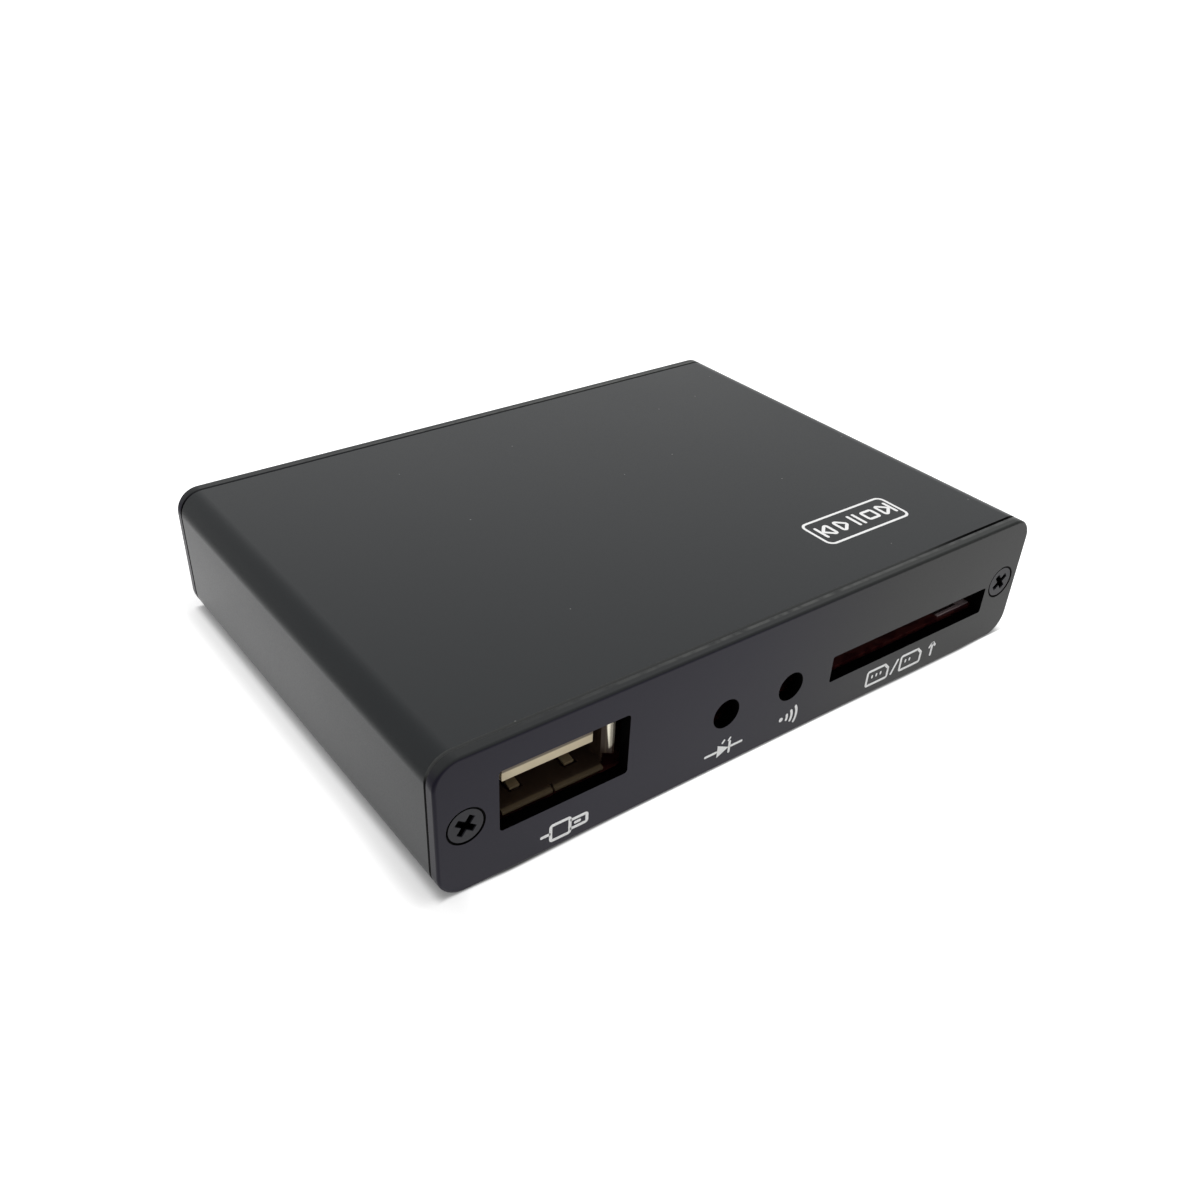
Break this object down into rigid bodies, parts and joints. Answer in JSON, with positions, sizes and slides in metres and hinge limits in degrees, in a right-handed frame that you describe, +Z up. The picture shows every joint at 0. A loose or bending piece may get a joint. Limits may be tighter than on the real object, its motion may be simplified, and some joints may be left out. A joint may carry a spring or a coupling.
{
  "type": "digital signage player",
  "caption": "Flat black metal box with screwed end panels, a data port, a card slot and round light and remote windows at the front, and video, audio and power sockets at the rear.",
  "frame": {"origin": "under the middle of the case, on the surface that it stands on", "axes": "+Z up, +X to the right along the front panel as seen from the front, the front panel faces -Y"},
  "size_m": [0.086, 0.063, 0.017],
  "materials": {
    "case_black": "black anodised, fine satin",
    "screw_black": "black oxide",
    "board_red": "red solder mask",
    "port_nickel": "nickel plated sheet",
    "sheet_steel": "tinned sheet",
    "contact_gold": "gold flash",
    "lead_tin": "tinned",
    "spring_steel": "drawn wire",
    "tongue_ivory": "moulded",
    "plastic_black": "moulded",
    "lens_red": "tinted epoxy",
    "receiver_black": "infrared-pass epoxy",
    "chip_black": "moulded epoxy",
    "sink_aluminium": "extruded, bare",
    "pad_grey": "soft thermal pad",
    "ferrite_grey": "sintered",
    "can_aluminium": "drawn can",
    "ceramic_tan": "ceramic"
  },
  "bodies": {
    "player": {"case_sleeve": "case_black", "front_panel": "case_black", "rear_panel": "case_black", "front_panel_screws": "screw_black", "rear_panel_screws": "screw_black", "main_board": "board_red", "data_port_shell": "port_nickel", "data_port_insulator": "tongue_ivory", "data_port_contacts": "contact_gold", "card_socket_base": "plastic_black", "card_socket_cover": "sheet_steel", "card_socket_contacts": "contact_gold", "carriage_spring": "spring_steel", "carriage_latch_pin": "spring_steel", "status_light_lens": "lens_red", "status_light_leads": "lead_tin", "status_light_holder": "plastic_black", "remote_receiver_body": "receiver_black", "remote_receiver_leads": "lead_tin", "video_port_shell": "port_nickel", "video_port_insulator": "plastic_black", "video_port_contacts": "contact_gold", "audio_jack_body": "plastic_black", "audio_jack_bush": "port_nickel", "audio_jack_contacts": "lead_tin", "power_jack_body": "plastic_black", "power_jack_pin": "port_nickel", "power_jack_terminals": "lead_tin", "media_processor": "chip_black", "thermal_pad": "pad_grey", "heat_sink": "sink_aluminium", "memory_chip": "chip_black", "flash_chip": "chip_black", "flash_chip_leads": "lead_tin", "clock_crystal": "sheet_steel", "power_inductor": "ferrite_grey", "regulator_chips": "chip_black", "capacitor_bases": "plastic_black", "capacitor_cans": "can_aluminium", "chip_resistors": "chip_black", "chip_capacitors": "ceramic_tan"},
    "carriage": {"card_carriage": "plastic_black"}
  },
  "joints": [
    {"name": "card_push", "type": "slide", "parent": "player", "child": "carriage", "axis": [0, 1, 0], "range_m": [0, 0.0048], "stiffness_N_per_m": 200, "springref_m": -0.004, "deforming": ["carriage_spring"]}
  ]
}
